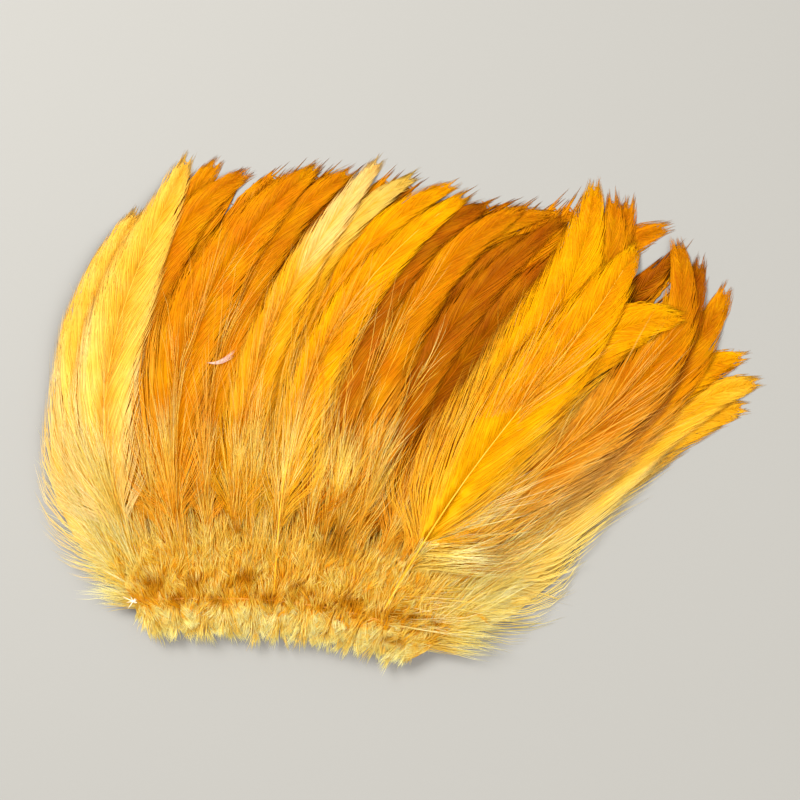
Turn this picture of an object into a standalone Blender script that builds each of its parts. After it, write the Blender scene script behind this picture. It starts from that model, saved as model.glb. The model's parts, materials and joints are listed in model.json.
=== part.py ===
"""Strung hackle: dyed cock's neck feathers sewn side by side on a cotton thread, lying fanned out.

Every feather is one closed solid, lofted along its shaft: a tuft of down at the butt, nipped in where
the thread grips the quill, then the quill and the vane. The feathers are laid one at a time, and each
rests on those that are already down, so no two of them touch. Lengths in this file are millimetres.
X runs along the row of quills, Y towards the tips and Z up from the surface that the hackle lies on.
"""

from collections import namedtuple

import bpy
import numpy as np

MM = 0.001

# The thread, and the row of quills that it holds
SLOTS = 52
STITCH_START = np.array([-78.0, -55.5])
STITCH_LENGTH = 92.0
STITCH_HEADING = 3.0
STITCH_TURN = -28.0
STITCH_BEND = 1.6
STITCH_HEIGHT = 4.2
THREAD_RADIUS = 0.25
THREAD_CLEARANCE = 0.3
THREAD_OVERRUN = 1.6
KNOT_RADIUS = 0.9

# Headings at which the quills leave the thread, in degrees, by slot
FAN_SLOTS = (0, 10, 23, 32, 41, 49, 51)
FAN_HEADINGS = (120, 98, 86, 74, 61, 42, 36)

# The down at a butt and the quill held by it: distance past the thread, half width, height above and below
BUTT = (
    (-11.0, 0.15, 0.3),
    (-7.5, 0.45, 2.9),
    (-1.4, 0.5, 0.5),
    (1.4, 0.5, 0.5),
    (6.0, 0.75, 3.2),
    (11.0, 0.85, 2.4),
    (15.0, 0.45, 0.5),
)
DOWN_VARIES = 0.16
QUILL_HALF_WIDTH = BUTT[-1][1]
HELD = BUTT[-1][0]

# The free length past the held quill: stations as shares of it, and the vane's thickness at the shaft
STATIONS = (0.035, 0.07, 0.105, 0.145, 0.2, 0.27, 0.35, 0.44, 0.54, 0.64, 0.74, 0.83, 0.91, 0.965, 1.0)
VANE_THICKNESS = 0.5
TIP_HALF_WIDTH = 0.7
VANE_FROM = 23.0
OUTER_VANE_FROM = 2.0
WIDENS_OVER = 14.0
TAPER_FROM = 0.6
TAPER_POWER = 0.6
WEB_CENTRE = 0.16
WEB_REACH = 0.38
BUTT_HANDLE = 0.42
TIP_HANDLE = 0.36

# How a feather settles on the pile
CELL = 0.4
SAMPLE_STEP = 0.4
AIR_GAP = 0.25
DROOP = 0.1
SAG_STEP = 0.05
SETTLE_STEPS = 140
CLEAR_STEPS = 60
PRESSED_FLAT = 0.9
PILE_LOW = np.array([-125.0, -95.0])
PILE_HIGH = np.array([125.0, 95.0])

# Feathers under the others reach to this line of tips, from the left end of the fan to the right
TIP_LINE = ((-84, 44), (-62, 70), (-30, 72), (0, 70), (30, 62), (58, 62), (79, 52), (95, 37), (104, 10), (90, -12))
TIP_LINE_HEADINGS = (66, 55, 44, 38, 30, 55, 60, 45, 15, 5)

Feather = namedtuple("Feather", "slot tip heading left right left_web right_web tint")


def shown(slot, x, y, heading, left, right, tint, left_web=None, right_web=None):
    """A feather that shows in the fan: where its tip lies and points, and the half widths of its vane."""
    return Feather(slot, (x, y), heading, left, right, left_web or left * 1.1, right_web or right * 1.1, tint)


SHOWN = (
    shown(0, -80, 50, 64, 9, 8, "pale", left_web=15),
    shown(51, 84, -4, 6, 8, 9, "pale", right_web=17),
    shown(32, 40, 53, 32, 8, 8, "deep"),
    shown(34, 54, 50, 42, 9, 9, "deep"),
    shown(33, 49.5, 58, 35, 5, 6, "deep"),
    shown(31, 45, 60, 8, 7, 7, "amber"),
    shown(29, 37, 61, 28, 8, 8, "amber"),
    shown(27, 26, 62, 22, 8, 8, "deep"),
    shown(5, -54, 75, 50, 9, 8, "amber"),
    shown(7, -45, 72, 28, 8, 8, "amber"),
    shown(49, 104, 2, 8, 9, 10, "gold", right_web=17),
    shown(50, 108, 9.5, 12, 9, 10, "gold", right_web=14),
    shown(48, 104, 17, 10, 9, 10, "gold"),
    shown(46, 99, 37, 66, 9, 9, "amber"),
    shown(45, 91, 45, 80, 9, 9, "amber"),
    shown(44, 84, 51, 104, 8, 9, "gold"),
    shown(42, 81, 56, 18, 9, 9, "amber"),
    shown(38, 70, 63, 78, 9, 9, "amber"),
    shown(37, 65, 64.5, 95, 9, 9, "amber"),
    shown(43, 85, 29, 2, 12, 11, "gold"),
    shown(21, 17, 68.5, 26, 8, 6, "gold"),
    shown(19, 5, 71, 30, 6, 6, "gold"),
    shown(13, -14, 72.5, 32, 8, 8, "amber"),
    shown(9, -24, 74, 40, 11, 8, "amber"),
    shown(40, 59.5, 68.5, 84, 11, 10, "gold"),
    shown(41, 72, 50, 60, 11, 10, "gold"),
    shown(17, -5.5, 75.5, 52, 6, 6, "gold"),
    shown(23, 20, 65, 34, 6, 7, "gold"),
    shown(2, -78, 60, 62, 9, 8, "pale", left_web=15),
    shown(3, -62.7, 76, 66, 9, 8.5, "pale", left_web=13),
)

# Plain diffuse colours of the dyed feathers and the thread, as linear red, green and blue
VANE_ROUGHNESS = 0.55
THREAD_ROUGHNESS = 0.9
TINTS = {
    "pale": (0.90, 0.62, 0.16),
    "gold": (0.88, 0.48, 0.05),
    "amber": (0.85, 0.36, 0.02),
    "deep": (0.72, 0.24, 0.01),
    "thread": (0.82, 0.80, 0.74),
}


def unit(heading):
    """A plan direction from a heading in degrees, counted from +X towards +Y."""
    return np.array([np.cos(np.radians(heading)), np.sin(np.radians(heading))])


def smooth(share):
    share = np.clip(share, 0, 1)
    return share * share * (3 - 2 * share)


def stitch_line(count=93):
    """Points along the row of stitches, which bends down towards its right end."""
    headings = np.radians(STITCH_HEADING + STITCH_TURN * np.linspace(0, 1, count) ** STITCH_BEND)
    middles = (headings[:-1] + headings[1:]) / 2
    steps = np.column_stack([np.cos(middles), np.sin(middles)]) * STITCH_LENGTH / (count - 1)
    return np.vstack([STITCH_START, STITCH_START + np.cumsum(steps, axis=0)])


def along(points, share):
    """The point at a share of the way along evenly spaced points."""
    place = share * (len(points) - 1)
    index = min(int(place), len(points) - 2)
    return points[index] + (points[index + 1] - points[index]) * (place - index)


def slot_place(slot):
    return along(STITCHES, (slot + 0.5) / SLOTS)


def fan_heading(slot):
    return float(np.interp(slot, FAN_SLOTS, FAN_HEADINGS))


def vane_line(feather, count=81):
    """The shaft in plan, evenly spaced, from the end of the held quill to the tip, and its length."""
    out = unit(fan_heading(feather.slot))
    start = slot_place(feather.slot) + out * HELD
    tip = np.array(feather.tip, float)
    chord = np.linalg.norm(tip - start)
    handle_out = start + out * chord * BUTT_HANDLE
    handle_in = tip - unit(feather.heading) * chord * TIP_HANDLE
    t = np.linspace(0, 1, count)[:, None]
    curve = (1 - t) ** 3 * start + 3 * (1 - t) ** 2 * t * handle_out + 3 * (1 - t) * t**2 * handle_in + t**3 * tip
    walked = np.concatenate([[0], np.cumsum(np.linalg.norm(np.diff(curve, axis=0), axis=1))])
    even = np.linspace(0, walked[-1], count)
    return np.column_stack([np.interp(even, walked, curve[:, axis]) for axis in (0, 1)]), walked[-1]


def half_width(past, length, vane, web, vane_from):
    """Half width of one side at a distance past the thread: narrow at the quill, widest at the web."""
    share = max(past - HELD, 0) / length
    widens = smooth((past - vane_from) / WIDENS_OVER)
    taper = np.clip((1 - share) / (1 - TAPER_FROM), 0, 1) ** TAPER_POWER
    bump = smooth(1 - abs(share - WEB_CENTRE) / WEB_REACH)
    full = vane * taper + (web - vane) * bump
    return max(widens * full, TIP_HALF_WIDTH if share > TAPER_FROM else QUILL_HALF_WIDTH)


def half_widths(feather, past, length):
    """Left and right half width. Nothing lies beyond the first and last quill, so their outer web starts sooner."""
    left_from = OUTER_VANE_FROM if feather.slot == 0 else VANE_FROM
    right_from = OUTER_VANE_FROM if feather.slot == SLOTS - 1 else VANE_FROM
    left = half_width(past, length, feather.left, feather.left_web, left_from)
    right = half_width(past, length, feather.right, feather.right_web, right_from)
    return left, right


def butt_stations(feather, length, varies):
    """Down and held quill: plan centre, direction, half widths, and height above and below the quill."""
    base, out = slot_place(feather.slot), unit(fan_heading(feather.slot))
    rows = []
    for (past, half, height), change in zip(BUTT, varies):
        if height > 1:
            height *= 1 + change
        left, right = half_widths(feather, past, length)
        rows.append((base + out * past, out, max(left, half), max(right, half), height))
    return rows


def free_stations(feather, line, length):
    """Quill and vane past the down: plan centre, direction and half widths."""
    rows = []
    for share in STATIONS:
        centre = along(line, share)
        ahead, behind = along(line, min(share + 0.02, 1)), along(line, max(share - 0.02, 0))
        out = (ahead - behind) / np.linalg.norm(ahead - behind)
        rows.append((centre, out, *half_widths(feather, HELD + share * length, length)))
    return rows


def sides(centre, out, left, right):
    """Left edge, shaft and right edge of a station, in plan."""
    across = np.array([-out[1], out[0]])
    return [centre + across * left, centre, centre - across * right]


def strip_facets(count):
    """Triangles of a strip of stations with three points each: left edge, shaft, right edge."""
    facets = []
    for k in range(count - 1):
        a, b = 3 * k, 3 * (k + 1)
        facets += [(a, a + 1, b), (b, a + 1, b + 1), (a + 1, a + 2, b + 2), (a + 1, b + 2, b + 1)]
    return np.array(facets)


def sample_facets(plan, facets):
    """Evenly spread samples on each facet: the three corners they hang from, and their weights."""
    corners, weights = [], []
    for facet in facets:
        a, b, c = plan[facet]
        longest = max(np.linalg.norm(a - b), np.linalg.norm(b - c), np.linalg.norm(c - a))
        n = max(2, int(np.ceil(longest / SAMPLE_STEP)))
        i, j = np.meshgrid(np.arange(n + 1), np.arange(n + 1))
        inside = i + j <= n
        i, j = i[inside] / n, j[inside] / n
        weights.append(np.column_stack([1 - i - j, i, j]))
        corners.append(np.repeat(facet[None, :], len(i), axis=0))
    return np.vstack(corners), np.vstack(weights)


class Pile:
    """A height map of what is already laid, in cells of the surface."""

    def __init__(self):
        shape = np.ceil((PILE_HIGH - PILE_LOW) / CELL).astype(int)
        self.top = np.full(shape, -AIR_GAP)

    def cells(self, places):
        index = ((places - PILE_LOW) / CELL).astype(int)
        return index[:, 0], index[:, 1]

    def floor_under(self, places):
        """The lowest height that clears everything within a cell of each place."""
        grown = self.top.copy()
        for axis in (0, 1):
            grown = np.maximum(grown, np.maximum(np.roll(grown, 1, axis), np.roll(grown, -1, axis)))
        return grown[self.cells(places)] + AIR_GAP

    def cover(self, places, heights):
        np.maximum.at(self.top, self.cells(places), heights)


def raise_clear(heights, corners, weights, floor):
    """Lifts the corners of every facet sample that lies under its floor. Returns the deepest fault."""
    short = floor - (heights[corners] * weights).sum(axis=1)
    low = short > 0
    if not low.any():
        return 0.0
    share = weights[low] / (weights[low] ** 2).sum(axis=1, keepdims=True)
    lift = np.zeros(len(heights))
    np.maximum.at(lift, corners[low].ravel(), (share * short[low, None]).ravel())
    heights += lift
    return short.max()


def settle(plan, pile, widths):
    """Bottom heights of a strip that sags onto the pile, held at its first station.

    Where the strip is low and nothing is laid under it, it lies flat on the surface.
    """
    facets = strip_facets(len(plan) // 3)
    corners, weights = sample_facets(plan, facets)
    places = (plan[corners] * weights[:, :, None]).sum(axis=1)
    floor = pile.floor_under(places)
    held = np.array([STITCH_HEIGHT, STITCH_HEIGHT - BUTT[-1][2], STITCH_HEIGHT])
    heights = np.tile(held, len(plan) // 3)
    for _ in range(SETTLE_STEPS):
        z = heights.reshape(-1, 3)
        z[1:-1] += 0.5 * ((z[:-2] + z[2:]) / 2 - z[1:-1])
        z[-1] += 0.3 * (2 * z[-2] - z[-3] - z[-1])
        z[1:, 0] += 0.3 * (z[1:, 1] - DROOP * widths[1:, 0] - z[1:, 0])
        z[1:, 2] += 0.3 * (z[1:, 1] - DROOP * widths[1:, 1] - z[1:, 2])
        z[1:] -= SAG_STEP
        z[0] = held
        raise_clear(heights, corners, weights, floor)
        heights[:3] = held
    for _ in range(CLEAR_STEPS):
        if raise_clear(heights, corners, weights, floor) < 1e-4:
            break
        heights[:3] = held
    bare = np.ones(len(heights), bool)
    bare[corners[floor > 0]] = False
    heights[bare & (heights < PRESSED_FLAT)] = 0
    return heights.reshape(-1, 3), corners, weights, places


def feather_rings(feather, pile, varies):
    """Four corners for each station, butt to tip: left edge, underside, right edge, top."""
    line, length = vane_line(feather)
    butt = butt_stations(feather, length, varies)
    rings = []
    for centre, out, left, right, height in butt:
        left_edge, shaft, right_edge = sides(centre, out, left, right)
        z = STITCH_HEIGHT
        rings.append([(*left_edge, z), (*shaft, z - height), (*right_edge, z), (*shaft, z + height)])
    stations = [butt[-1][:4]] + free_stations(feather, line, length)
    strip = [sides(*row) for row in stations]
    widths = np.array([row[2:] for row in stations])
    plan = np.array(strip).reshape(-1, 2)
    heights, corners, weights, places = settle(plan, pile, widths)
    tops = heights.copy()
    tops[0, 1] = STITCH_HEIGHT + BUTT[-1][2]
    tops[1:, 1] += VANE_THICKNESS
    pile.cover(places, (tops.ravel()[corners] * weights).sum(axis=1))
    for (left_edge, shaft, right_edge), low, high in zip(strip[1:], heights[1:], tops[1:]):
        rings.append([(*left_edge, low[0]), (*shaft, low[1]), (*right_edge, low[2]), (*shaft, high[1])])
    return np.array(rings)


def place_object(name, data, tint):
    """Puts a mesh or a curve in the scene under its name, in a dyed material of its own."""
    material = bpy.data.materials.new(name)
    material.use_nodes = True
    shader = material.node_tree.nodes["Principled BSDF"]
    shader.inputs["Base Color"].default_value = (*TINTS[tint], 1)
    shader.inputs["Roughness"].default_value = THREAD_ROUGHNESS if tint == "thread" else VANE_ROUGHNESS
    data.materials.append(material)
    bpy.context.scene.collection.objects.link(bpy.data.objects.new(name, data))


def loft(name, rings, tint):
    """One closed solid through the rings, given in millimetres, with flat ends."""
    left, under, right, top = range(4)
    faces = [(left, under, right, top)]
    for a in range(0, 4 * (len(rings) - 1), 4):
        b = a + 4
        faces += [
            (a + left, b + left, a + under),
            (b + left, b + under, a + under),
            (a + under, b + right, a + right),
            (a + under, b + under, b + right),
            (a + left, a + top, b + left),
            (b + left, a + top, b + top),
            (a + top, a + right, b + right),
            (a + top, b + right, b + top),
        ]
    faces.append((b + top, b + right, b + under, b + left))
    mesh = bpy.data.meshes.new(name)
    mesh.from_pydata((rings.reshape(-1, 3) * MM).tolist(), [], faces)
    place_object(name, mesh, tint)


def under_feathers():
    """Feathers in the slots that no shown feather takes, reaching evenly along the line of tips."""
    taken = {feather.slot for feather in SHOWN}
    free = [slot for slot in range(SLOTS) if slot not in taken]
    line = np.array(TIP_LINE, float)
    places = np.linspace(0, 1, len(line))
    found = []
    for slot in free:
        share = np.clip((slot + RANDOM.uniform(-1, 1)) / (SLOTS - 1), 0, 1)
        tip = [np.interp(share, places, line[:, axis]) for axis in (0, 1)]
        heading = np.interp(share, places, TIP_LINE_HEADINGS) + RANDOM.uniform(-8, 8)
        wide = RANDOM.uniform(8, 10)
        tint = "amber" if slot % 3 else "deep"
        found.append(Feather(slot, tuple(tip), heading, wide, wide, wide * 1.15, wide * 1.15, tint))
    RANDOM.shuffle(found)
    return found


def lay_feathers():
    """Every feather with its rings, laid in turn from the lowest to the one on top."""
    pile = Pile()
    laid = []
    for feather in under_feathers() + list(SHOWN):
        varies = RANDOM.uniform(-DOWN_VARIES, DOWN_VARIES, len(BUTT))
        laid.append((feather, feather_rings(feather, pile, varies)))
    return laid


def sew_thread(middle):
    """The thread: one run over the quills and one under them, closed round the ends of the row, with a knot."""
    curve = bpy.data.curves.new("thread", "CURVE")
    curve.dimensions = "3D"
    curve.bevel_depth = THREAD_RADIUS * MM
    curve.bevel_resolution = 1
    rise = BUTT[2][2] + THREAD_CLEARANCE + THREAD_RADIUS
    first, last = STITCHES[0] - STITCHES[1], STITCHES[-1] - STITCHES[-2]
    before = STITCHES[0] + first / np.linalg.norm(first) * THREAD_OVERRUN
    after = STITCHES[-1] + last / np.linalg.norm(last) * THREAD_OVERRUN
    row = STITCHES[::3]
    over = [(*place, STITCH_HEIGHT + rise) for place in row]
    under = [(*place, STITCH_HEIGHT - rise) for place in row[::-1]]
    points = np.array([(*before, STITCH_HEIGHT)] + over + [(*after, STITCH_HEIGHT)] + under) - middle
    spline = curve.splines.new("POLY")
    spline.points.add(len(points) - 1)
    for point, place in zip(spline.points, points * MM):
        point.co = (*place, 1)
    spline.points[0].radius = KNOT_RADIUS / THREAD_RADIUS
    spline.use_cyclic_u = True
    place_object("thread", curve, "thread")


def middle_of_fan(laid):
    """The point of the surface under the middle of the box that all feathers fill."""
    corners = np.vstack([rings.reshape(-1, 3) for _, rings in laid])
    middle = (corners.min(axis=0) + corners.max(axis=0)) / 2
    return np.array([middle[0], middle[1], 0])


for old in list(bpy.data.objects):
    bpy.data.objects.remove(old)
RANDOM = np.random.default_rng(11)
STITCHES = stitch_line()
LAID = lay_feathers()
MIDDLE = middle_of_fan(LAID)
for laid_feather, laid_rings in LAID:
    loft(f"feather_{laid_feather.slot + 1:02d}", laid_rings - MIDDLE, laid_feather.tint)
sew_thread(MIDDLE)
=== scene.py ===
"""Looks of the strung hackle: fine barbs, curly down, quills and a two-ply cotton thread.

Each feather of the frame is read as smooth curves along its shaft. Its barbs, down and quill then grow from
those curves as closed tapering strands, joined in one mesh that stands for the feather's solid. The strands
are made as arrays, because a feather has hundreds of them. Lengths are millimetres where a comment doesn't
say otherwise, and MM turns them to metres.
"""

import json
import math
from collections import namedtuple

import bmesh
import bpy
import numpy as np
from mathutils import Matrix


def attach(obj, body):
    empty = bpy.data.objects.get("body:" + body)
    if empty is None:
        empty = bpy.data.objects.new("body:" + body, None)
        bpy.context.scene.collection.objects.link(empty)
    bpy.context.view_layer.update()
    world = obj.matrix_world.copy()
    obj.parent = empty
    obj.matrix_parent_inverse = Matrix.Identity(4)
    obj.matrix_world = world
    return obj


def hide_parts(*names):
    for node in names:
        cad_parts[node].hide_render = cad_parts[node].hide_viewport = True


MM = 0.001
FEATHERS = 52
UP = np.array([0.0, 0.0, 1.0])

# Feathers that show in the fan. The rest lie under them and need fewer barbs.
SHOWN = (1, 3, 4, 6, 8, 10, 14, 18, 20, 22, 24, 28, 30, 32, 33, 34, 35, 38, 39, 41, 42, 43, 44, 45, 46, 47,
         49, 50, 51, 52)
SHOWN_BARBS, UNDER_BARBS = 250, 80

# Where the barbs and the web that joins them start past the thread, and where both start on a broad side,
# which is the outer side of the feathers at the ends of the row
BARBS_START, WEB_START, BROAD_START = 8, 14, 2
LAST_BROAD_LEFT, FIRST_BROAD_RIGHT = 2, 51

# How far a barb reaches along the shaft for each millimetre of the vane's width, and the shortest and longest
# that it reaches
REACH_PER_WIDTH, SHORTEST_REACH, LONGEST_REACH = 4.0, 24, 54

# Barbs that lie together in a small lock, in a large lock and in one point of the tip's brush
FINE_LOCK, LOCK, BRUSH_POINT = 5, 16, 12

# Half width of a barb by share of the vane's length, and its taper by share of its own
BARB_HALF_WIDTH = ((0, 0.3, 0.8, 1), (0.08, 0.15, 0.14, 0.09))
BARB_TAPER = ((0, 0.5, 0.75, 1), (1, 0.95, 0.65, 0.12))

# Shares of a vane's length: up to where its barbs lie loose, and where they start to part in the tip's brush
LOOSE_TO, BRUSH_FROM, BRUSH_OVER = 0.38, 0.55, 0.3

# Feathers whose vanes lie smooth, and how uneven these are
SMOOTH_VANES, SMOOTH = (1, 2, 3, 4), 0.4

# Feathers that are palest at their tips, and the first of those whose barbs reach over the next feather
PALE_TIPPED, BLENDED_FROM = (18, 20), 36

# Feathers from this one to the right end grow ever paler and downier in their lowest stretch
DOWNY_FROM, DOWNIEST = 42, 0.85

# Feathers whose pale shafts stand out, and how far these are raised out of the down
PALE_SHAFTS, SHAFT_LIFT = (24, 42), 1.6

# Feathers on top of the pile that shed long stray barbs, those whose soft webs have long loose barbs that lie
# over the edges of the next ones, and those with pale plumes
STRAY_SHEDDERS = (4, 10, 14, 18, 22, 24, 28, 30, 32, 34, 38, 39, 41, 42, 44, 45, 49)
VEILED = (6, 10, 14, 18, 22, 24, 28, 30, 38, 39, 41, 42, 43, 44, 45, 46, 47, 49, 50)
PALE_PLUMED = (1, 2, 3, 4, 42, 48, 49, 50, 51, 52)

# Feathers whose long pale down spreads past the pile: on which side, turned by how many degrees and how much
# longer
SKIRTED = {1: (-1, 0, 1.0), 2: (-1, 0, 1.0), 42: (1, 24, 1.7), 49: (1, -6, 1.0), 50: (1, -6, 1.0),
           51: (1, -6, 1.0), 52: (1, -6, 1.0)}

# A curl of white down that has stuck to the fan: the feather, how far past the thread, its length, its spread
# and its hairs
FLECK_ON, FLECK_PAST, FLECK_LENGTH, FLECK_SPREAD, FLECK_HAIRS = 14, 71.5, 9.5, 2.6, 10

# Down grows in tufts. Each zone of the quill has its own: from and to past the thread, tufts, hairs in each,
# points of a hair, shortest and longest hair, the way that the first and the last tuft point in degrees off
# the shaft and how far others differ, least and most climb in degrees, width of the curl, how much of it is a
# hair's own, and half the hair's width.
Zone = namedtuple("Zone", "start end tufts hairs points shortest longest first_way last_way differ least "
                          "most curl own half")
FRINGE = Zone(-8.2, -0.5, 11, 14, 4, 3.0, 7.2, 180, 180, 24, -5, 35, 0.7, 0.4, 0.085)
CROWN = Zone(-3.2, 17.0, 14, 11, 4, 4.0, 9.5, 0, 0, 60, 5, 40, 0.9, 0.35, 0.09)
PLUMES = Zone(3.0, 38.0, 20, 10, 5, 14.0, 30.0, 0, 0, 11, 0, 8, 1.6, 0.25, 0.075)
UNDER_PLUMES = Zone(3.0, 30.0, 9, 7, 5, 14.0, 24.0, 0, 0, 11, 0, 5, 1.6, 0.25, 0.09)
STRAYS = Zone(22.0, 74.0, 8, 5, 5, 16.0, 34.0, 0, 0, 20, 0, 7, 2.2, 0.3, 0.06)
SKIRT = Zone(-3.0, 34.0, 22, 14, 5, 12.0, 24.0, 48, 14, 9, 0, 4, 1.0, 0.5, 0.08)
VEIL = Zone(12.0, 84.0, 13, 11, 5, 20.0, 42.0, 0, 0, 15, -1, 2, 1.2, 0.3, 0.07)

# How many feathers share one fan of the fringe, and how far its outermost tufts turn, in degrees
FAN_OF_BUTTS, FAN_TURN = 4.6, 50

# Share of the down's hairs that grow under the quill, the lowest and highest that any down lies, and the
# taper of a hair by share of its length
DOWN_UNDER, DOWN_LOWEST, DOWN_HIGHEST = 0.18, 0.15, 11
HAIR_TAPER = ((0, 0.6, 1), (1, 0.85, 0.3))

# Bed of dense down round a quill: distance past the thread, half width and half height. Its tone, from root
# to tip dye, goes by the same distance, and its low tone by the thread is painted shade.
DOWN_BED = np.array([(-8.6, 0.4, 0.3), (-6.0, 1.2, 1.1), (-1.0, 1.3, 0.9), (6.0, 1.4, 1.2),
                     (14.0, 1.5, 0.8), (24.0, 1.0, 0.2)])
BED_TONE_AND_SHADE = ((-9, -5, -1, 6, 24), (0.9, 0.6, 0.1, 0.4, 0.6))

# Hollows where the down parts, drawn only as painted shade that lowers the tone and darkens the dye there:
# across, up the fan and radius, and how much wider than high they are
SHADED_HOLLOWS = ((-72.9, -50.8, 2.6), (-60.3, -50.8, 2.0), (-44.7, -49.6, 2.8), (-47.7, -35.2, 2.0),
           (-18.3, -40.3, 3.6), (-16.5, -36.0, 3.0), (-14.1, -56.8, 2.6), (-65.1, -56.2, 2.0),
           (-38.1, -56.2, 2.2), (-21.3, -58.6, 2.0), (-0.5, -60.6, 2.6), (4.6, -61.5, 2.2),
           (-3.2, -68.0, 1.3), (1.0, -69.0, 1.3), (-30.0, -52.0, 1.8), (-54.0, -56.5, 1.6),
           (12.0, -63.0, 1.6))
HOLLOW_BREADTH = 1.7

# Painted shade along the furrow in the down over the thread: how far past it, its half width and its depth
# from 0 to 1
FURROW_PAST, FURROW_HALF, FURROW_SHADE_DEPTH = 1.6, 2.3, 0.45

# A strand's cross-section: a low ridge on a flat base for barbs and down, and a round for quills
RIDGE = np.array([(1.0, 0.0), (0.0, 0.3), (-1.0, 0.0)])
ROUND = np.array([(math.cos(a), math.sin(a)) for a in np.arange(6) * math.tau / 6])

# Half thickness of a quill by share of its length
QUILL_HALF = ((0, 0.15, 0.5, 1), (0.42, 0.24, 0.12, 0.04))

# The thread: height over and under the quills' middles, how far its ends reach past the row, half thickness
# of a ply, how far a ply's middle lies from the thread's, length of one twist and step between points
THREAD_RISE, THREAD_PAST, PLY_HALF, PLY_OFF, TWIST, THREAD_STEP = 0.75, 2, 0.16, 0.14, 2.2, 0.35

# The knot: how far past the first quill and how high, and the turn in radians and length of each cut end
KNOT_PAST, KNOT_HEIGHT = 0.8, 2.6
KNOT_ENDS = ((0.5, 1.0), (2.1, 1.5), (2.7, 3.4), (3.3, 2.0), (4.1, 2.6), (5.4, 0.9))

# Dye colours of a feather, as root, middle and tip of its barbs
DYES = {
    "pale": ("#F4B630", "#FACC58", "#FFE494"),
    "gold": ("#E89800", "#F4AE00", "#FEC838"),
    "amber": ("#D07C00", "#E29000", "#F8B22C"),
    # Deep is darker partly as painted shade, for vanes that lie low in shade between others
    "deep": ("#A45800", "#C06C00", "#E49414"),
}
# Feathers that took up the dye unlike the others of their kind, by number. Feather 46 has the deep dye partly
# as painted shade, for its vane lies in shade.
ODD_DYES_AND_SHADE = {
    18: ("#E89C00", "#F2B018", "#F4CC74"),
    20: ("#E49800", "#ECAC14", "#E6BC50"),
    45: DYES["amber"],
    46: DYES["deep"],
    50: ("#EEA810", "#F8BC28", "#FED45C"),
    51: ("#F0AE18", "#FAC234", "#FFDE70"),
}
FRINGE_DYES = ("#FFD040", "#FFEC7C", "#FFF8B4")
CROWN_DYES = ("#FFBC18", "#FFDE4C", "#FFF08C")
PLUME_DYES = ("#FFBC20", "#FFDC50", "#FFEC8C")
SKIRT_DYES = ("#FFDC54", "#FFF088", "#FFF8C0")
# The bed's dark amber root dye stands for painted shade deep in the down
BED_DYES_AND_SHADE = ("#CC7A10", "#FCC040", "#FFD864")
VEIL_DYES = ("#F4AE18", "#FCC034", "#FFD468")
SHAFT_DYES = ("#F6B82C", "#FFD25C", "#FFDE84")
FLECK_DYES = ("#F6CFB4", "#F8DACB", "#FBE6E0")

# Width of the clouds in which the dye was taken up, in metres, and the warm tint of a highlight on keratin
CLOUD_WIDTH, KERATIN_TINT = 7.69 * MM, (1, 0.75, 0.3, 1)

# Lamps of the studio: place and size in metres, and power in watts. Then the colour and strength of the
# room's light, and half the floor's width in metres.
LAMPS = {"key": ((-0.45, 0.4, 0.75), 0.4, 12.5), "fill": ((0.5, -0.5, 0.8), 0.8, 8)}
ROOM_LIGHT, ROOM_STRENGTH = (1.0, 0.98, 0.94, 1), 0.7
FLOOR_HALF = 4.0

# The camera looks straight down from this height on a field this wide, over this place, all in metres
CAMERA_HEIGHT, CAMERA_FIELD, CAMERA_ACROSS, CAMERA_UP = 0.62, 0.240, 0.935 * MM, 3.18 * MM

# What the barbs of one feather are grown from: its number, dyes, barbs on a side, and how unevenly they lie
Vane = namedtuple("Vane", "number dyes count wild")


def linear(code):
    """An sRGB hex colour as linear red, green and blue."""
    parts = np.array([int(code[i : i + 2], 16) for i in (1, 3, 5)]) / 255
    return np.where(parts <= 0.04045, parts / 12.92, ((parts + 0.055) / 1.055) ** 2.4)


def smooth(share):
    """A share from 0 to 1 that eases in and out."""
    share = np.clip(share, 0, 1)
    return share * share * (3 - 2 * share)


def smooth_clamp(share):
    """Shares outside 0 to 1 are brought back inside, those between are left nearly as they are."""
    inner = np.clip(share, 0.06, 0.94)
    return inner + 0.06 * np.tanh((share - inner) / 0.06)


def unit(vectors):
    """Vectors at length 1."""
    return vectors / np.maximum(np.linalg.norm(vectors, axis=-1, keepdims=True), 1e-12)


def uneven(random, count, lumps):
    """Slow random waves between -1 and 1 over evenly spaced places, with this many lumps."""
    knots = random.uniform(-1, 1, int(lumps) + 4)
    return np.interp(np.linspace(0, lumps, count), np.arange(len(knots)), knots)


def mottle(places):
    """Slow uneven patches over the fan, between about -1 and 1, a few millimetres across."""
    x, y = places[..., 0] / MM, places[..., 1] / MM
    patches = np.sin(0.9 * x + 1.7 * np.sin(0.31 * y)) + np.sin(1.3 * y + 2.1 * np.sin(0.43 * x))
    return (patches + np.sin(0.53 * x - 0.71 * y + 1.1)) / 2.4


def dye_along(dyes, t):
    """Colours blended from root to tip over t from 0 to 1."""
    root, middle, tip = (linear(code) for code in dyes)
    first = smooth(t / 0.55)[..., None]
    second = smooth((t - 0.5) / 0.5)[..., None]
    return (root * (1 - first) + middle * first) * (1 - second) + tip * second


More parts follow.
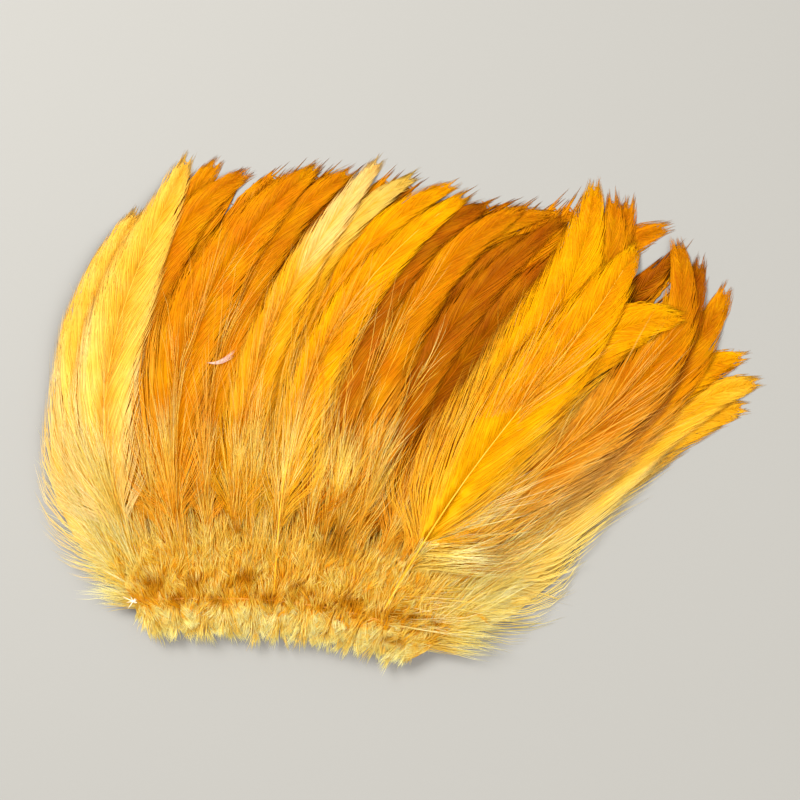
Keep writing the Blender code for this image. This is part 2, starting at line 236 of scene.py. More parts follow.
class Curves:
    """A feather's solid read as smooth curves: its shaft and both edges, by metres past the thread."""

    # Corners closer than SAME_PLACE lie above each other, or on the floor. A top corner of a feather that is
    # pressed flat has a height within PRESSED_FLAT, and two edge corners are in line with it where the cosine
    # between the ways to them is under IN_LINE.
    SAME_PLACE = 0.01 * MM
    PRESSED_FLAT = (0.3 * MM, 0.7 * MM)
    IN_LINE = -0.99999

    def __init__(self, node):
        corners = np.array([v.co for v in frame["nodes"][node].data.vertices])
        corners = np.unique(corners.round(6), axis=0)
        centres, edges = self.split(corners)
        out = unit(np.gradient(centres[:, :2], axis=0))
        left, right = self.sides(centres, out, edges)
        steps = np.linalg.norm(np.diff(centres[:, :2], axis=0), axis=1)
        walked = np.concatenate([[0], np.cumsum(steps)])
        self.knots = walked - (walked[2] + walked[3]) / 2
        self.values = np.hstack([centres, left, right])
        self.slopes = np.gradient(self.values, self.knots, axis=0)
        self.start, self.end = self.knots[0], self.knots[-1]

    def split(self, corners):
        """Points along the shaft, in order from the butt, and the other corners. A shaft has a corner below
        each top one, but where a feather is pressed flat only the top one, in line between two edge corners
        on the floor."""
        apart = np.linalg.norm(corners[:, None, :2] - corners[None, :, :2], axis=2)
        np.fill_diagonal(apart, 1)
        mate = apart.argmin(axis=1)
        paired = apart.min(axis=1) < self.SAME_PLACE
        low = paired & (corners[:, 2] < corners[mate, 2])
        middles = [*(corners[low] + corners[mate[low]]) / 2]
        on_floor = corners[~paired & (corners[:, 2] < self.SAME_PLACE), :2]
        other = ~paired
        least, most = self.PRESSED_FLAT
        for k in np.flatnonzero(~paired & (corners[:, 2] > least) & (corners[:, 2] < most)):
            way = unit(on_floor - corners[k, :2])
            if len(way) and (way @ way.T).min() < self.IN_LINE:
                middles.append(corners[k] * (1, 1, 0.5))
                other[k] = False
        middles = np.array(middles)
        order = [int(middles[:, 1].argmin())]
        while len(order) < len(middles):
            gaps = np.linalg.norm(middles[:, :2] - middles[order[-1], :2], axis=1)
            gaps[order] = np.inf
            order.append(int(gaps.argmin()))
        return middles[order], corners[other]

    @staticmethod
    def sides(centres, out, edges):
        """Left and right edge of each shaft point: the corners that lie square to the shaft there."""
        offset = edges[:, None, :2] - centres[None, :, :2]
        along = np.abs((offset * out[None]).sum(axis=2))
        score = along + 0.15 * np.linalg.norm(offset, axis=2)
        place = score.argmin(axis=1)
        turn = out[place, 0] * offset[np.arange(len(edges)), place, 1]
        turn -= out[place, 1] * offset[np.arange(len(edges)), place, 0]
        left, right = np.zeros((len(centres), 3)), np.zeros((len(centres), 3))
        left[place[turn > 0]] = edges[turn > 0]
        right[place[turn <= 0]] = edges[turn <= 0]
        if not (left.any(axis=1).all() and right.any(axis=1).all()):
            raise ValueError("a station of a feather has no edge")
        return left, right

    def at(self, past):
        """Shaft, left edge and right edge at distances past the thread, going straight on beyond the ends."""
        inside = np.clip(past, self.start, self.end)
        index = np.clip(np.searchsorted(self.knots, inside, side="right") - 1, 0, len(self.knots) - 2)
        span = self.knots[index + 1] - self.knots[index]
        t = ((inside - self.knots[index]) / span)[..., None]
        span = span[..., None]
        found = (
            (1 + 2 * t) * (1 - t) ** 2 * self.values[index]
            + t * (1 - t) ** 2 * span * self.slopes[index]
            + t * t * (3 - 2 * t) * self.values[index + 1]
            + t * t * (t - 1) * span * self.slopes[index + 1]
        )
        found = found + (past - inside)[..., None] * np.tile(self.slopes[-1, :3], 3)
        return found[..., 0:3], found[..., 3:6], found[..., 6:9]


def strands(paths, half_widths, section, dyes, facing=UP):
    """Closed tapering strands along paths, as arrays. Each has a ring of corners at every point but the last,
    where it ends in a tip."""
    count, points = paths.shape[:2]
    rings, sides = points - 1, len(section)
    ahead = unit(np.gradient(paths, axis=1))
    across = unit(np.cross(ahead, facing))
    upward = np.cross(across, ahead)
    reach = section * half_widths.reshape(count, points, 1, -1)[:, :rings]
    ring = paths[:, :rings, None] + reach[..., :1] * across[:, :rings, None]
    ring = ring + reach[..., 1:] * upward[:, :rings, None]
    corners = np.concatenate([ring.reshape(count, rings * sides, 3), paths[:, -1:, :]], axis=1)
    colours = np.concatenate([np.repeat(dyes[:, :rings], sides, axis=1), dyes[:, -1:]], axis=1)
    share = np.concatenate([np.repeat(np.arange(rings) / rings, sides), [1.0]])
    places = np.stack(np.broadcast_arrays(share[None, :], np.arange(count)[:, None] + 0.5), axis=-1)

    side = np.arange(sides)
    after = (side + 1) % sides
    quads = [np.column_stack([k + side, k + sides + side, k + sides + after, k + after])
             for k in range(0, (rings - 1) * sides, sides)]
    last = (rings - 1) * sides
    tip = np.column_stack([last + side, np.full(sides, rings * sides), last + after])
    cap = side[None, ::-1] if sides > 3 else np.array([[0, 1, 2]])
    step = (np.arange(count) * (rings * sides + 1))[:, None, None]
    quads = (np.concatenate(quads)[None] + step).reshape(-1, 4)
    faces = [quads, (tip[None] + step).reshape(-1, 3), (cap[None] + step).reshape(-1, cap.shape[1])]
    base = (side == 2) & (sides == 3)
    sharp = [np.tile(base, count * (rings - 1)), np.tile(base, count), np.ones(count, bool)]
    return {"corners": corners.reshape(-1, 3), "colours": colours.reshape(-1, 3),
            "places": places.reshape(-1, 2), "rows": count, "faces": faces, "sharp": sharp}


def sheet(grid, thickness, dyes, places, rows):
    """A thin closed sheet over a grid of points: a top, an underside and the walls round them."""
    lines, points = grid.shape[:2]
    over, below = grid + UP * thickness / 2, grid - UP * thickness / 2
    corners = np.concatenate([over.reshape(-1, 3), below.reshape(-1, 3)])
    at = np.arange(lines * points).reshape(lines, points)
    under = at + lines * points
    top = np.stack([at[:-1, :-1], at[1:, :-1], at[1:, 1:], at[:-1, 1:]], axis=-1).reshape(-1, 4)
    rim = np.concatenate([at[0, :-1], at[:-1, -1], at[-1, :0:-1], at[:0:-1, 0]])
    low = np.concatenate([under[0, :-1], under[:-1, -1], under[-1, :0:-1], under[:0:-1, 0]])
    walls = np.column_stack([rim, np.roll(rim, -1), np.roll(low, -1), low])
    quads = np.concatenate([top, top[:, ::-1] + lines * points, walls])
    a, b, c = (corners[top[:, k]] for k in range(3))
    if np.cross(b - a, c - a)[:, 2].sum() < 0:
        quads = quads[:, ::-1]
    sharp = [np.arange(len(quads)) >= 2 * len(top)]
    return {"corners": corners, "colours": np.tile(dyes.reshape(-1, 3), (2, 1)),
            "places": np.tile(places.reshape(-1, 2), (2, 1)), "rows": rows, "faces": [quads], "sharp": sharp}


def piece_from(name, groups, materials):
    """One object from groups of strands, each with its own material. Every corner keeps its dye and the
    number of its strand, and the UV map gives each strand a row of its own."""
    corners = np.concatenate([g["corners"] for g in groups])
    colours = np.concatenate([g["colours"] for g in groups])
    loops, totals, slots, sharp, places, base, row = [], [], [], [], [], 0, 0
    for slot, group in enumerate(groups):
        for faces in group["faces"]:
            loops.append((faces + base).ravel())
            totals.append(np.full(len(faces), faces.shape[1]))
            slots.append(np.full(len(faces), slot))
        sharp += group["sharp"]
        places.append(group["places"] + [0, row])
        base += len(group["corners"])
        row += group["rows"]
    loops, totals, slots = np.concatenate(loops), np.concatenate(totals), np.concatenate(slots)
    places = np.concatenate(places)
    starts = np.concatenate([[0], np.cumsum(totals)[:-1]])
    mesh = bpy.data.meshes.new(name)
    mesh.vertices.add(len(corners))
    mesh.vertices.foreach_set("co", corners.astype(np.float32).ravel())
    mesh.loops.add(len(loops))
    mesh.loops.foreach_set("vertex_index", loops.astype(np.int32))
    mesh.polygons.add(len(totals))
    mesh.polygons.foreach_set("loop_start", starts.astype(np.int32))
    mesh.polygons.foreach_set("material_index", slots.astype(np.int32))
    mesh.update(calc_edges=True)
    dye = mesh.attributes.new("dye", "FLOAT_COLOR", "POINT")
    with_alpha = np.column_stack([colours, np.ones(len(colours))])
    dye.data.foreach_set("color", with_alpha.astype(np.float32).ravel())
    undersides = mesh.attributes.new("sharp_face", "BOOLEAN", "FACE")
    undersides.data.foreach_set("value", np.concatenate(sharp))
    rows = mesh.attributes.new("row", "FLOAT", "POINT")
    rows.data.foreach_set("value", places[:, 1].astype(np.float32))
    uvs = mesh.uv_layers.new(name="OFBake")
    uvs.data.foreach_set("uv", (places[loops] / [1, row]).astype(np.float32).ravel())
    for material in materials:
        mesh.materials.append(material)
    return put_in_scene(name, mesh)


def put_in_scene(name, data):
    """An object at the origin for a mesh, a curve, a lamp or a camera."""
    made = bpy.data.objects.new(name, data)
    bpy.context.scene.collection.objects.link(made)
    return made


def vane_paths(curves, root, sweep, side, t, pull=0.0, wide=1.0):
    """Points of barbs that leave the shaft at root and lie back along the vane, and the way off the shaft."""
    past = root[:, None] + sweep[:, None] * t * MM + pull * t**2
    shaft, left, right = curves.at(past)
    out = (left if side > 0 else right) - shaft
    spread = wide * (1 - (1 - t) ** 1.4)
    away = out / np.maximum(np.linalg.norm(out, axis=2, keepdims=True), MM)
    return shaft + out * spread[..., None], away


def sweeps(curves, root, side, broad):
    """How far along the shaft barbs reach, so that they lie some 20 degrees off it."""
    shaft, left, right = curves.at(root + 12 * MM)
    width = np.linalg.norm((left if side > 0 else right) - shaft, axis=1) / MM
    along = (root - root[0]) / (root[-1] - root[0])
    sweep = np.clip(REACH_PER_WIDTH * width, SHORTEST_REACH, LONGEST_REACH)
    if broad:
        sweep = sweep * np.interp(along, [0, 0.1, 0.3], [0.2, 0.5, 1])
    return sweep


def bleach(number, along):
    """How much paler a vane is at shares of its length: most are palest at the base, some at the tip."""
    base = 1 - smooth(along / 0.6)
    if number in PALE_TIPPED:
        return 0.15 * base + 0.75 * smooth((along - 0.45) / 0.35)
    return 0.6 * base


def downy(dyes, number, along, t):
    """Barb dyes that turn to those of pale down in the lowest stretch of a vane at the right of the fan."""
    share = DOWNIEST * max(number - DOWNY_FROM, 0) / (FEATHERS - DOWNY_FROM)
    share = (share * (1 - smooth((along - 0.12) / 0.5)))[:, None, None] * (0.4 + 0.6 * t[..., None])
    return dyes * (1 - share) + dye_along(SKIRT_DYES, 0.1 + 0.7 * t) * share


def web(curves, vane, side, broad):
    """The barbules that hook the barbs of one side together, as a thin sheet that the barbs stand out of."""
    t = np.array([[0.0, 0.2, 0.44, 0.72]])
    first, last = (BROAD_START if broad else WEB_START) * MM, curves.end - 1.5 * MM
    root = np.linspace(first, last, 20)
    along = (root - first) / (last - first)
    sweep = np.minimum(sweeps(curves, root, side, broad), (last - root) / MM * 0.9 + 1.0)
    reach = t * np.interp(along, [0, 0.3, 0.9, 1], [0.4, 0.9 if broad else 1, 0.9, 0.6])[:, None]
    grid, _ = vane_paths(curves, root, sweep, side, reach)
    grid[..., 2] = np.maximum(grid[..., 2] - 0.04 * MM, 0.08 * MM)
    light = 0.12 + 0.3 * reach + 0.85 * bleach(vane.number, along)[:, None]
    places = np.stack(np.broadcast_arrays(reach, along[:, None] * vane.count), axis=-1)
    dyes = downy(dye_along(vane.dyes, light), vane.number, along, reach)
    return sheet(grid, 0.05 * MM, dyes * 0.94, places, vane.count)


def barbs(curves, vane, random, side, broad):
    """The barbs of one side of a vane: long and swept towards the tip, drawn together in locks, loose near
    the base, and parted in points near the tip."""
    count, wild = vane.count, vane.wild
    t = np.linspace(0, 1, 5 if count == SHOWN_BARBS else 4)[None, :]
    first, last = (BROAD_START if broad else BARBS_START) * MM, curves.end - 0.8 * MM
    root = np.linspace(first, last, count) + random.uniform(-0.2, 0.2, count) * MM
    along = (root - first) / (last - first)
    loose, brush = 1 - smooth(along / LOOSE_TO), smooth((along - BRUSH_FROM) / BRUSH_OVER)
    fine, lock = uneven(random, count, count / FINE_LOCK), uneven(random, count, count / LOCK)

    sweep = sweeps(curves, root, side, broad) + 0.4 * lock
    sweep = sweep + random.uniform(-1, 1, count) * (2 + 3.5 * loose)
    to_tip = (last - root) / MM * (0.92 + 0.1 * lock) + random.uniform(0.6, 3.0, count)
    sweep = np.minimum(sweep, to_tip)
    group = np.arange(count) // BRUSH_POINT
    middle = (np.bincount(group, root) / np.bincount(group))[group]
    pull = 0.9 * brush * (middle - root)
    widest = 1.0 if broad else 1.3 if vane.number >= BLENDED_FROM else 1.15
    wide = random.uniform(0.86 if broad else 0.95, widest, count)[:, None]
    paths, away = vane_paths(curves, root, sweep, side, t, pull[:, None], wide)

    aside = 0.1 * lock + random.normal(0.2, 0.4, count) + brush * random.uniform(-0.5, 1.0, count)
    aside = aside + loose * (2.2 + 0.8 * lock + random.normal(0, 1.3, count)) * wild
    paths = paths + away * aside[:, None, None] * t[..., None] ** 1.5 * MM
    rise = wild * (0.04 * fine + 0.06 * lock + random.normal(0, 0.04, count)) - 0.15
    rise = rise + loose * (1.2 + 0.4 * lock + random.normal(0, 0.5, count)) * wild
    paths[..., 2] += (rise[:, None] * t**1.5 + 0.05) * MM
    paths[..., 2] = np.maximum(paths[..., 2], 0.1 * MM)
    half = np.interp(along, *BARB_HALF_WIDTH)[:, None] * MM
    half = half * np.interp(t, *BARB_TAPER) * (SHOWN_BARBS / count) ** 0.8

    blotch = (0.04 + 0.05 * loose) * (fine + lock)
    shade = 1 + wild * (blotch + random.normal(0, 0.03, count) * (1 + loose))
    paler = bleach(vane.number, along) + wild * (0.14 * lock + random.normal(0, 0.07, count))
    light = 0.1 + 0.35 * t + paler[:, None]
    dyes = downy(dye_along(vane.dyes, np.clip(light, 0, 1)), vane.number, along, t)
    return strands(paths, half, RIDGE, dyes * np.clip(shade, 0.7, 1.2)[:, None, None])


def quill(curves, dyes, lift):
    """The quill and shaft: round, thick at the butt and fine as a hair at the tip, and raised by lift where
    the down would hide it."""
    past = np.linspace(curves.start + 2 * MM, curves.end - 0.5 * MM, 18)
    shaft = curves.at(past)[0][None]
    share = (past - past[0]) / (past[-1] - past[0])
    half = np.interp(share, *QUILL_HALF)[None] * MM
    shaft[..., 2] += (0.06 + lift * np.interp(past / MM, [0, 6, 22, 50], [0, 1, 1, 0])) * MM
    return strands(shaft, half, ROUND, dye_along(dyes, 0.1 + 0.5 * share)[None])


def hollow_shade(places):
    """How much painted shade a place takes in one of the ragged hollows, from 0 outside to 0.9 at its middle.
    """
    deep = np.zeros(places.shape[:-1])
    ragged = 1 + 0.4 * mottle(places * 2.3)
    for x, y, radius in SHADED_HOLLOWS:
        apart = np.hypot((places[..., 0] / MM - x) / HOLLOW_BREADTH, places[..., 1] / MM - y)
        deep = np.maximum(deep, 0.9 * (1 - smooth(apart * ragged / radius / 1.2)))
    return deep


def furrow_shade(curves, places):
    """How much painted shade a place takes over the thread, where the down parts to both sides."""
    start, onward = curves.at(np.array([0.0, 5 * MM]))[0]
    past = ((places - start) @ unit(onward - start)) / MM
    near = np.exp(-(((past - FURROW_PAST) / FURROW_HALF) ** 2))
    return FURROW_SHADE_DEPTH * near * (0.5 + 0.5 * mottle(places * 1.3))


def down_bed(curves, random):
    """The dense down close round the quill, as one lumpy body that hides it and carries the loose hairs. Its
    dark amber, deepest by the thread and in the hollows, is painted shade.
    """
    past = np.linspace(DOWN_BED[0, 0], DOWN_BED[-1, 0], 20)
    shaft = curves.at(past * MM)[0][None]
    half = np.column_stack([np.interp(past, DOWN_BED[:, 0], DOWN_BED[:, k]) for k in (1, 2)])[None] * MM
    half = half * random.uniform(0.8, 1.1, (1, len(past), 1))
    # Painted shade: the bed's tone drops and its dye darkens by the thread and in the hollows
    tone = np.interp(past, *BED_TONE_AND_SHADE) + 0.3 * mottle(shaft) - hollow_shade(shaft)
    dyes = dye_along(BED_DYES_AND_SHADE, np.clip(tone, 0, 1)) * (1 - 0.35 * hollow_shade(shaft))[..., None]
    body = strands(shaft, half, ROUND, dyes)
    body["corners"][:, 2] = np.maximum(body["corners"][:, 2], 0.1 * MM)
    return body


def curl(random, zone, t, alike):
    """A curl in two directions that widens along each hair. Hairs of one number in alike curl together."""
    number = alike[-1] + 1
    turns = random.uniform(0.3, 1.1, number) * math.tau
    start = random.uniform(0, math.tau, number)
    width = random.uniform(0.3, 1.0, number) * zone.curl * MM
    angle = turns[alike][:, None] * t + start[alike][:, None]
    return width[alike][:, None] * t * np.cos(angle), width[alike][:, None] * t * np.sin(angle)


def tufts(curves, random, zone, dyes, turn=0.0, stretch=1.0, side=1, shift=0.0):
    """Tufts of curly down on one zone of the quill, turned together by some degrees, longer and shifted."""
    count = zone.tufts * zone.hairs
    tuft = np.repeat(np.arange(zone.tufts), zone.hairs)
    t = np.linspace(0, 1, zone.points)[None, :]

    # Roots, spread over the bed and some of them under it
    past = (np.linspace(zone.start, zone.end, zone.tufts) + random.uniform(-0.8, 0.8, zone.tufts))[tuft]
    past = past + random.normal(0, 0.4, count) + shift
    root = curves.at(past * MM)[0]
    ahead = unit(curves.at((past + 0.5) * MM)[0] - curves.at((past - 0.5) * MM)[0])
    across = unit(np.cross(ahead, UP))
    under = np.where(random.uniform(size=count) < DOWN_UNDER, -1.0, 1.0)
    root[:, 2] += under * np.interp(past, DOWN_BED[:, 0], 0.75 * DOWN_BED[:, 2]) * MM
    root += across * random.uniform(-0.8, 0.8, count)[:, None] * MM

    # The way that each hair points, and its length
    way = (side * np.linspace(zone.first_way, zone.last_way, zone.tufts) + turn)[tuft]
    way = way + (random.uniform(-0.5, 0.5, zone.tufts)[tuft] + 0.6 * mottle(0.6 * root)) * zone.differ
    way = np.radians(way + random.normal(0, 7, count))
    climb = random.uniform(zone.least, zone.most, zone.tufts)[tuft] + random.normal(0, 5, count)
    climb = np.radians(climb) * under
    flat = ahead * np.cos(way)[:, None] + across * np.sin(way)[:, None]
    aim = flat * np.cos(climb)[:, None] + UP * np.sin(climb)[:, None]
    length = random.uniform(zone.shortest, zone.longest, zone.tufts)[tuft]
    length = length * random.uniform(0.7, 1.05, count) * stretch * MM

    # Curls, shared by a tuft and a hair's own, and the droop of hairs that climb
    other = unit(np.cross(aim, UP + 0.1))
    third = np.cross(aim, other)
    shared, own = curl(random, zone, t, tuft), curl(random, zone, t, np.arange(count))
    paths = root[:, None] + aim[:, None] * (length[:, None] * t)[..., None]
    paths = paths + other[:, None] * ((1 - zone.own) * shared[0] + zone.own * own[0])[..., None]
    paths = paths + third[:, None] * ((1 - zone.own) * shared[1] + zone.own * own[1])[..., None]
    paths[..., 2] -= under[:, None] * 0.5 * np.sin(np.abs(climb))[:, None] * length[:, None] * t**2
    low, room = DOWN_LOWEST * MM, (DOWN_HIGHEST - DOWN_LOWEST) * MM
    paths[..., 2] = low + room * smooth_clamp((paths[..., 2] - low) / room)

    # Thickness, and painted shade that darkens and deepens the dyes in hollows and over the thread
    half = random.uniform(0.7, 1.1, count)[:, None] * np.interp(t, *HAIR_TAPER) * zone.half * MM
    # deep is the painted shade of the hollows and of the furrow over the thread
    patch, deep = mottle(paths[:, -1]), np.maximum(hollow_shade(paths), furrow_shade(curves, paths))
    tone = 0.3 * patch + random.uniform(-0.3, 0.25, zone.tufts)[tuft] + random.uniform(-0.1, 0.1, count)
    shade = 1 + 0.07 * patch
    shade = shade * random.uniform(0.93, 1.03, zone.tufts)[tuft] * random.uniform(0.96, 1.04, count)
    colours = dye_along(dyes, np.clip(t + tone[:, None] - deep, 0, 1)) * shade[:, None, None]
    colours = colours * (1 - deep[..., None] * np.array([0.4, 0.6, 0.6]))
    facing = UP + 0.12 * flat[:, None] * random.normal(size=(count, 1, 1))
    return strands(paths, half, RIDGE, colours, facing)


def fleck(curves, random):
    """A curl of white down: a few fine hairs that part at one end, lying on the vane."""
    each = (FLECK_HAIRS, 1, 1)
    t = np.linspace(0, 1, 6)[None, :, None]
    middle, left, right = curves.at(np.array([FLECK_PAST * MM]))
    across = unit(right[0] - left[0]) * (1, 1, 0)
    ahead = np.cross(UP, across)
    aim = unit(0.9 * across + 0.6 * ahead)
    fan = np.linspace(-0.5, 0.5, FLECK_HAIRS)[:, None, None] + random.uniform(-0.06, 0.06, each)
    paths = aim * FLECK_LENGTH * (t - 0.35) * random.uniform(0.85, 1.0, each)
    paths = paths + ahead * (fan * FLECK_SPREAD * t - 1.3 * np.sin(math.pi * t)) + UP * (0.9 + 0.4 * t)
    half = np.interp(t[..., 0], [0, 0.5, 1], [0.7, 1, 0.3]) * 0.075 * MM * np.ones((FLECK_HAIRS, 1))
    dyes = np.tile(dye_along(FLECK_DYES, t[..., 0]), each)
    return strands(middle[0] + paths * MM, half, RIDGE, dyes)


def downs_of(curves, number, random):
    """All the down of one feather, from the fringe at its butt to the loose barbs over its vane."""
    leaning = 2 * (number / FAN_OF_BUTTS % 1) - 1
    shift = min(1.6 * math.sin(number / 2.1) + 0.8 * math.sin(number / 0.9), 1.0)
    plumes = PLUMES if number in SHOWN else UNDER_PLUMES
    plume_dyes = SKIRT_DYES if number in PALE_PLUMED else PLUME_DYES
    downs = [down_bed(curves, random),
             tufts(curves, random, FRINGE, FRINGE_DYES, -FAN_TURN * leaning, 1.2 - 0.5 * abs(leaning)),
             tufts(curves, random, CROWN, CROWN_DYES, shift=shift),
             tufts(curves, random, plumes, plume_dyes, stretch=random.uniform(0.7, 1.35))]
    if number in STRAY_SHEDDERS:
        downs.append(tufts(curves, random, STRAYS, PLUME_DYES))
    if number in VEILED:
        downs.append(tufts(curves, random, VEIL, VEIL_DYES))
    if number == FLECK_ON:
        downs.append(fleck(curves, random))
    if number in SKIRTED:
        side, turn, stretch = SKIRTED[number]
        downs.append(tufts(curves, random, SKIRT, SKIRT_DYES, turn, stretch, side))
    return downs


def make_feather(number):
    """One feather: both sides of its vane, its quill and its down, in one piece. It gives back its curves."""
    node = f"feather_{number:02d}"
    random = np.random.default_rng(number)
    curves = Curves(node)
    subparts = {row["node"]: row for row in frame["record"]["subparts"]}
    tint = subparts[node]["material_slot"]
    dyes = ODD_DYES_AND_SHADE.get(number, DYES[tint.removeprefix("feather_")])
    count = SHOWN_BARBS if number in SHOWN else UNDER_BARBS
    vane = Vane(number, dyes, count, SMOOTH if number in SMOOTH_VANES else 1.0)
    sides = []
    for side, broad in ((1, number <= LAST_BROAD_LEFT), (-1, number >= FIRST_BROAD_RIGHT)):
        sides += [web(curves, vane, side, broad), barbs(curves, vane, random, side, broad)]
    pale = number in PALE_SHAFTS
    shaft = quill(curves, SHAFT_DYES if pale else dyes, SHAFT_LIFT if pale else 0)
    downs = downs_of(curves, number, random)
    materials = [VANE] * len(sides) + [QUILL] + [DOWN] * len(downs)
    made = piece_from(f"{node}_barbs", [*sides, shaft, *downs], materials)
    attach(made, "root")
    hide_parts(node)
    return curves


def add_ply(curve, route, turned):
    """One ply of the thread, which winds round the route."""
    walked = np.concatenate([[0], np.cumsum(np.linalg.norm(np.diff(route, axis=0), axis=1))])
    steps = np.arange(0, walked[-1], THREAD_STEP * MM)
    line = np.column_stack([np.interp(steps, walked, route[:, axis]) for axis in range(3)])
    ahead = unit(np.gradient(line, axis=0))
    across = unit(np.cross(ahead, UP + 0.01))
    upward = np.cross(across, ahead)
    turn = (steps / (TWIST * MM) * math.tau + turned)[:, None]
    ply = line + PLY_OFF * MM * (across * np.cos(turn) + upward * np.sin(turn))
    spline = curve.splines.new("POLY")
    spline.points.add(len(ply) - 1)
    spline.points.foreach_set("co", np.column_stack([ply, np.ones(len(ply))]).ravel())
    spline.use_cyclic_u = True


def add_knot_end(curve, knot, turn, length):
    """One short cut end of thread that springs from the knot and thins out."""
    bow = np.array([math.cos(turn), math.sin(turn), 0.3]) * length * MM
    route = [knot - 0.3 * bow, knot + UP * 0.6 * MM, knot + 0.4 * bow, knot + 0.8 * bow,
             knot + bow - UP * 0.5 * MM]
    spline = curve.splines.new("NURBS")
    spline.points.add(len(route) - 1)
    spline.points.foreach_set("co", np.column_stack([route, np.ones(len(route))]).ravel())
    spline.points.foreach_set("radius", (1.0, 0.9, 0.7, 0.45, 0.3))
    spline.use_endpoint_u = True
    # The cut ends take the near-white cotton, a painted highlight at the knot
    spline.material_index = 1


def make_thread(all_curves):
    """The thread over and under the quills, as two plies twisted together, with a knot at its left end."""
    crossings = np.array([curves.at(np.array([0.0]))[0][0] for curves in all_curves])
    over, under = crossings + UP * THREAD_RISE * MM, crossings[::-1] - UP * THREAD_RISE * MM
    first, last = unit(crossings[0] - crossings[1]), unit(crossings[-1] - crossings[-2])
    route = np.vstack([crossings[0] + first * THREAD_PAST * MM, over,
                       crossings[-1] + last * THREAD_PAST * MM, under])
    curve = bpy.data.curves.new("cotton_thread", "CURVE")
    curve.dimensions = "3D"
    curve.bevel_depth = PLY_HALF * MM
    curve.bevel_resolution = 1
    curve.use_fill_caps = True
    curve.materials.append(COTTON)
    curve.materials.append(GLINT_PALE_COTTON)
    for turned in (0, math.pi):
        add_ply(curve, route, turned)
    knot = crossings[0] + first * KNOT_PAST * MM + UP * KNOT_HEIGHT * MM
    for turn, length in KNOT_ENDS:
        add_knot_end(curve, knot, turn, length)
    made = put_in_scene("cotton_thread", curve)
    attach(made, "root")
    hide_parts("thread")


def add_node(tree, kind, settings=(), links=()):
    """Adds a node, sets its properties and input values, and links other nodes' outputs to its inputs, which
    are given by name, or by number where a node has several of one name."""
    node = tree.nodes.new(kind)
    for name, value in dict(settings).items():
        if isinstance(name, str) and hasattr(node, name) and name not in node.inputs:
            setattr(node, name, value)
        else:
            node.inputs[name].default_value = value
    for name, output in dict(links).items():
        tree.links.new(output, node.inputs[name])
    return node


def empty_material(name):
    """A new material with no nodes yet, and its node tree."""
    material = bpy.data.materials.new(name)
    material.use_nodes = True
    material.node_tree.nodes.clear()
    return material, material.node_tree


def dyed_material(name, roughness, translucent, fleck_width, deepest=1.3):
    """Dyed keratin. Each strand has its own dye, which was taken up deeper in wide clouds and by some
    strands, as a gamma of up to deepest. Flecks darken it a little, and some light comes through."""
    material, tree = empty_material(name)
    dye = add_node(tree, "ShaderNodeAttribute", {"attribute_name": "dye"})
    row = add_node(tree, "ShaderNodeAttribute", {"attribute_name": "row"})
    place = add_node(tree, "ShaderNodeTexCoord").outputs["Object"]
    cloud = add_node(tree, "ShaderNodeTexNoise", {"Scale": 1 / CLOUD_WIDTH, "Detail": 2.0}, {"Vector": place})
    flecks = add_node(tree, "ShaderNodeTexNoise", {"Scale": 1 / fleck_width, "Detail": 2.0},
                      {"Vector": place})
    streak = add_node(tree, "ShaderNodeTexNoise", {"noise_dimensions": "1D", "Scale": 0.55, "Detail": 3.0},
                      {"W": row.outputs["Fac"]})
    uptake = add_node(tree, "ShaderNodeMath", {"operation": "ADD"},
                      {0: cloud.outputs["Fac"], 1: streak.outputs["Fac"]})
    depth = add_node(tree, "ShaderNodeMapRange",
                     {"From Min": 0.6, "From Max": 1.4, "To Min": 0.8, "To Max": deepest},
                     {"Value": uptake.outputs["Value"]})
    body = add_node(tree, "ShaderNodeGamma", {},
                    {"Color": dye.outputs["Color"], "Gamma": depth.outputs["Result"]})
    shade = add_node(tree, "ShaderNodeMapRange", {"To Min": 0.9, "To Max": 1.08},
                     {"Value": flecks.outputs["Fac"]})
    colour = add_node(tree, "ShaderNodeVectorMath", {"operation": "SCALE"},
                      {"Vector": body.outputs["Color"], "Scale": shade.outputs["Result"]})
    deep = add_node(tree, "ShaderNodeGamma", {"Gamma": 1.2}, {"Color": colour.outputs["Vector"]})
    surface = add_node(tree, "ShaderNodeBsdfPrincipled",
                       {"Roughness": roughness, "Specular IOR Level": 0.12, "Specular Tint": KERATIN_TINT},
                       {"Base Color": colour.outputs["Vector"]})
    through = add_node(tree, "ShaderNodeBsdfTranslucent", {}, {"Color": deep.outputs["Color"]})
    mixed = add_node(tree, "ShaderNodeMixShader", {0: translucent},
                     {1: surface.outputs[0], 2: through.outputs[0]})
    add_node(tree, "ShaderNodeOutputMaterial", {}, {"Surface": mixed.outputs[0]})
    return material


def cotton_material(name, colour, fibre_width=0.4 * MM):
    """Spun cotton, dull and soft at the edge, whose fibres stand lighter and darker."""
    material, tree = empty_material(name)
    place = add_node(tree, "ShaderNodeTexCoord").outputs["Object"]
    fibre = add_node(tree, "ShaderNodeTexNoise", {"Scale": 1 / fibre_width, "Detail": 3.0}, {"Vector": place})
    shade = add_node(tree, "ShaderNodeMapRange", {"To Min": 0.75, "To Max": 1.2},
                     {"Value": fibre.outputs["Fac"]})
    spun = add_node(tree, "ShaderNodeVectorMath", {"operation": "SCALE", "Vector": linear(colour)},
                    {"Scale": shade.outputs["Result"]})
    relief = add_node(tree, "ShaderNodeBump", {"Strength": 0.5, "Distance": 0.1 * MM},
                      {"Height": fibre.outputs["Fac"]})
    surface = add_node(tree, "ShaderNodeBsdfPrincipled", {"Roughness": 0.85, "Sheen Weight": 0.3},
                       {"Base Color": spun.outputs["Vector"], "Normal": relief.outputs["Normal"]})
    add_node(tree, "ShaderNodeOutputMaterial", {}, {"Surface": surface.outputs[0]})
    return material


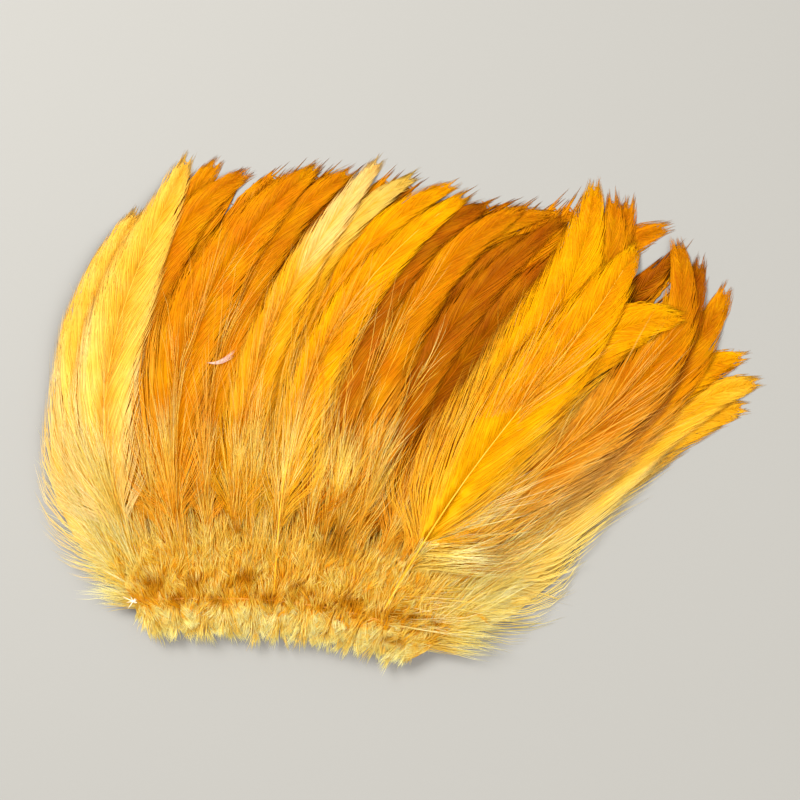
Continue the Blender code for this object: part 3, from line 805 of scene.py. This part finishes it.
def floor_material(name, colour, roughness):
    """Plain matt paint, for the floor alone."""
    material, tree = empty_material(name)
    surface = add_node(tree, "ShaderNodeBsdfPrincipled",
                       {"Base Color": (*linear(colour), 1), "Roughness": roughness})
    add_node(tree, "ShaderNodeOutputMaterial", {}, {"Surface": surface.outputs[0]})
    return material


def make_floor():
    """A wide pale floor that the hackle lies on."""
    bm = bmesh.new()
    bmesh.ops.create_grid(bm, x_segments=1, y_segments=1, size=FLOOR_HALF)
    mesh = bpy.data.meshes.new("floor")
    bm.to_mesh(mesh)
    bm.free()
    mesh.materials.append(floor_material("pale_floor", "#94928D", 0.8))
    put_in_scene("floor", mesh)


def make_light():
    """Soft light from the upper left, a weaker lamp from the lower right, and a bright room."""
    for name, (place, size, power) in LAMPS.items():
        light = bpy.data.lights.new(name, "AREA")
        light.size = size
        light.energy = power
        lamp = put_in_scene(name, light)
        lamp.location = place
        x, y, z = place
        lamp.rotation_euler = (math.atan2(math.hypot(x, y), z), 0, math.atan2(x, -y))

    world = bpy.data.worlds.new("room")
    world.use_nodes = True
    background = world.node_tree.nodes["Background"]
    background.inputs["Color"].default_value = ROOM_LIGHT
    background.inputs["Strength"].default_value = ROOM_STRENGTH
    bpy.context.scene.world = world


def make_camera():
    """A camera straight above the fan."""
    lens = bpy.data.cameras.new("above")
    lens.angle = 2 * math.atan(CAMERA_FIELD / 2 / CAMERA_HEIGHT)
    camera = put_in_scene("above", lens)
    camera.location = (CAMERA_ACROSS, CAMERA_UP, CAMERA_HEIGHT)
    bpy.context.scene.camera = camera
    bpy.context.scene.view_settings.view_transform = "Standard"


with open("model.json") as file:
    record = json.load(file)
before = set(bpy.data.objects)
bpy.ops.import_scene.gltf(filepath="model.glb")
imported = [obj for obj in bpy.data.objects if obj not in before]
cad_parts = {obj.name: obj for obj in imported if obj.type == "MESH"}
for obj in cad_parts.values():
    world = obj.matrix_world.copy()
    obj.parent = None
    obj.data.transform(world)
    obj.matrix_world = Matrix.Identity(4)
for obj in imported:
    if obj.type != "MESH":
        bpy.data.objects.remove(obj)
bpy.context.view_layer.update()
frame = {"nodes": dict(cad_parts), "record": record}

# Hackle barbs: dyed keratin hooked into a close vane, which gives a silky face with a faint gloss, streaked
# from barb to barb, with flecks 1 mm wide
VANE = dyed_material("dyed_hackle_barbs", 0.42, 0.25, 1.111 * MM)
# Hackle down: the same keratin in loose hairs without hooks, which looks matt and glows where light comes
# through
DOWN = dyed_material("dyed_hackle_down", 0.85, 0.4, 1.111 * MM, deepest=1.12)
# Quill: a solid keratin tube, smooth and a little glossy, in which the dye stands in flecks 2.5 mm wide
QUILL = dyed_material("dyed_hackle_quill", 0.35, 0.05, 2.5 * MM)
# Two-ply cotton sewing thread, spun and dyed along with the feathers, and its cut ends, whose near-white
# is a painted highlight at the knot.
# Its fibres are drawn 0.4 mm wide, coarser than they are, so that they show.
COTTON = cotton_material("dyed_cotton_thread", "#D08A1C")
GLINT_PALE_COTTON = cotton_material("thread_ends_painted_glint", "#F2E8CC")

make_thread([make_feather(number) for number in range(1, FEATHERS + 1)])
make_floor()
make_light()
make_camera()
